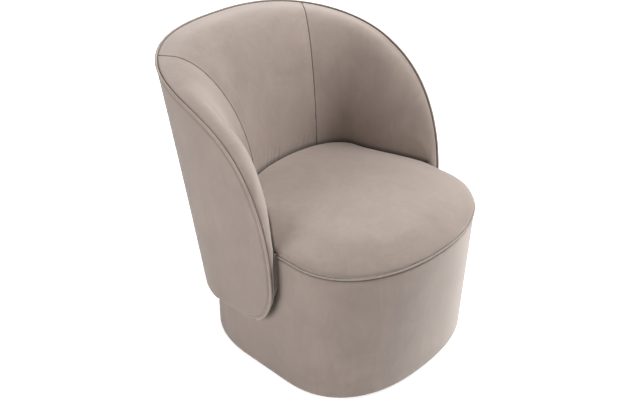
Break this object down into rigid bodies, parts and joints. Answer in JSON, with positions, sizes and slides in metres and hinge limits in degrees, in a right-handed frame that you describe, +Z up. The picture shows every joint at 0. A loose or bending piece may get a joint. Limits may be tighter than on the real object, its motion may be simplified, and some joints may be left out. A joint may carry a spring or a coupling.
{
  "type": "swivel tub armchair",
  "caption": "Round upholstered tub armchair: drum seat with piped crowned cushion inside a padded wrap-round back and arms, on a hidden swivel.",
  "frame": {"origin": "on the floor on the swivel's axis, which is the middle of the chair's overall box in plan", "axes": "+Z up, the open front of the chair faces -Y, +X is to the sitter's left"},
  "size_m": [0.663, 0.7969, 0.7649],
  "materials": {
    "velvet": "short pile upholstery velvet, taupe, soft sheen at grazing angles",
    "piping": "velvet-covered cord piping in the same cloth",
    "foam": "open-cell upholstery foam, cream",
    "plywood": "raw birch plywood",
    "softwood": "raw planed softwood",
    "fibreboard": "bent hardboard, smooth",
    "webbing": "elastic jute webbing, black",
    "lining": "black non-woven dust cloth",
    "pressed_steel": "dark powder coat",
    "bright_steel": "zinc-plated steel",
    "nylon": "black nylon glide"
  },
  "bodies": {
    "foot": {"glide_1": "nylon", "glide_2": "nylon", "glide_3": "nylon", "glide_4": "nylon", "glide_5": "nylon", "glide_6": "nylon", "floor_plate": "pressed_steel", "lower_race": "pressed_steel", "ball_cage": "bright_steel", "pivot_pin": "bright_steel", "pivot_collar": "bright_steel"},
    "chair": {"upper_race": "pressed_steel", "bottom_board": "plywood", "seat_ring": "plywood", "post_1": "softwood", "post_2": "softwood", "post_3": "softwood", "post_4": "softwood", "post_5": "softwood", "post_6": "softwood", "drum_wall": "fibreboard", "cross_strap_1": "webbing", "cross_strap_2": "webbing", "cross_strap_3": "webbing", "cross_strap_4": "webbing", "long_strap_1": "webbing", "long_strap_2": "webbing", "long_strap_3": "webbing", "seat_foam": "foam", "seat_cover": "velvet", "base_cover": "velvet", "seat_piping": "piping", "dust_cover": "lining", "shell_floor": "plywood", "shell_lining": "lining", "rib_1": "plywood", "rib_2": "plywood", "rib_3": "plywood", "rib_4": "plywood", "rib_5": "plywood", "arm_post_left": "softwood", "arm_post_right": "softwood", "top_rail": "plywood", "back_board": "fibreboard", "arm_panel_left": "plywood", "arm_panel_right": "plywood", "arm_block_left": "softwood", "arm_block_right": "softwood", "back_pad": "foam", "arm_pad_left": "foam", "arm_pad_right": "foam", "inner_cover_centre": "velvet", "inner_cover_left": "velvet", "inner_cover_right": "velvet", "arm_facing_left": "velvet", "arm_facing_right": "velvet", "outer_cover": "velvet", "rim_piping": "piping"}
  },
  "joints": [
    {"name": "seat_swivel", "type": "hinge", "parent": "foot", "child": "chair", "pos_m": [0, 0, 0], "axis": [0, 0, 1], "continuous": true}
  ]
}
